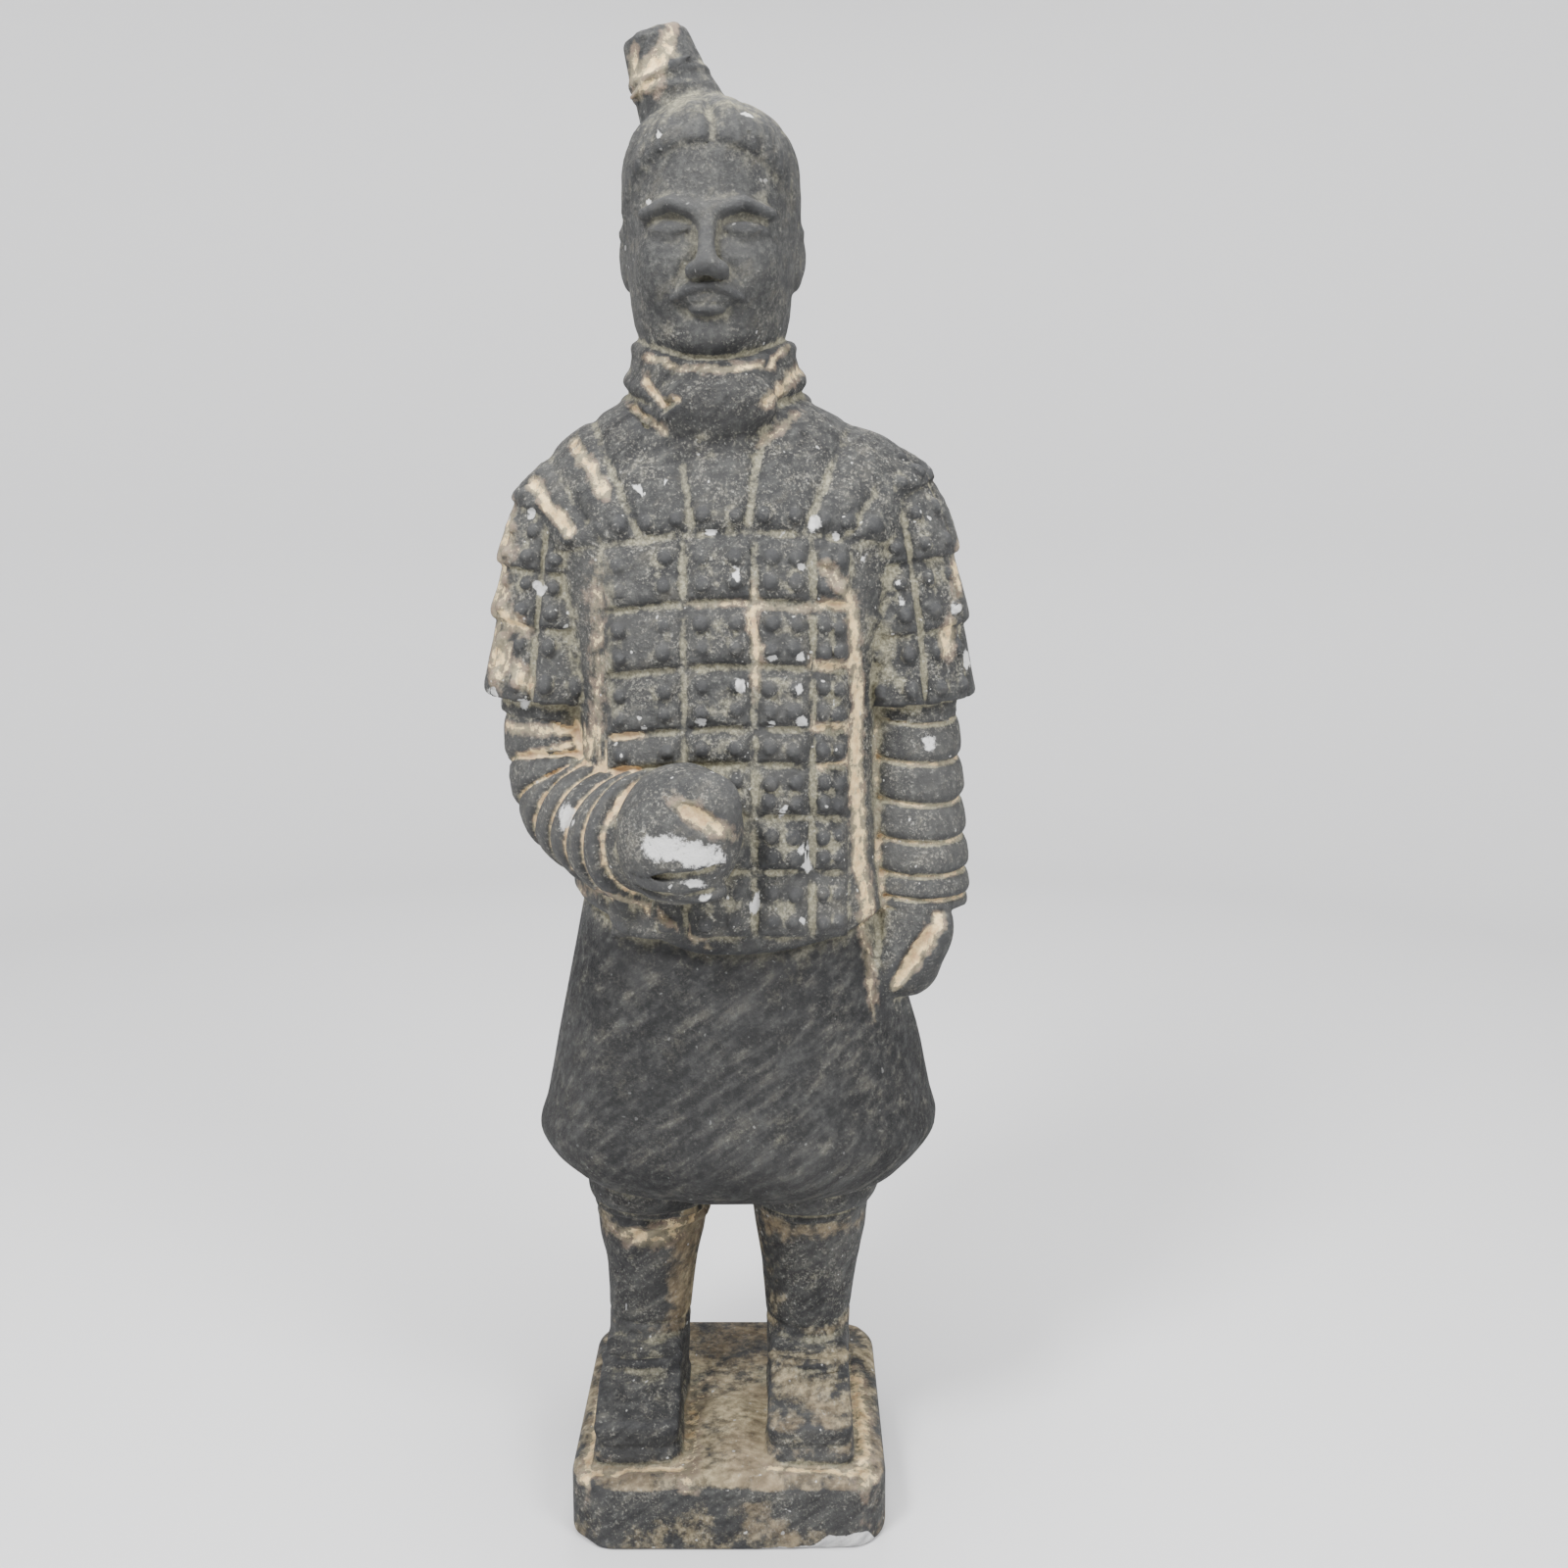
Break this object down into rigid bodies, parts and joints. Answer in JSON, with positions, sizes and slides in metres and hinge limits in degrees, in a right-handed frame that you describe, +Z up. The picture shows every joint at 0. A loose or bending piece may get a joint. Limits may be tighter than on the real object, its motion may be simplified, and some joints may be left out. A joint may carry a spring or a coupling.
{
  "type": "terracotta warrior statue",
  "caption": "Moulded grey clay figure of a standing armoured warrior with a leaning topknot, one fist before the waist, on a low square plinth, made in one piece.",
  "frame": {"origin": "middle of the plinth's flat underside, on the surface that the statue stands on", "axes": "+Z up through the figure, -Y the way the figure faces, +X to the figure's left"},
  "size_m": [0.0823, 0.0626, 0.25],
  "materials": {
    "grey_clay": "matt unglazed clay, charcoal grey, dusted ochre in the hollows and chipped white on high points"
  },
  "bodies": {
    "root": {"warrior_statue": "grey_clay"}
  },
  "joints": []
}
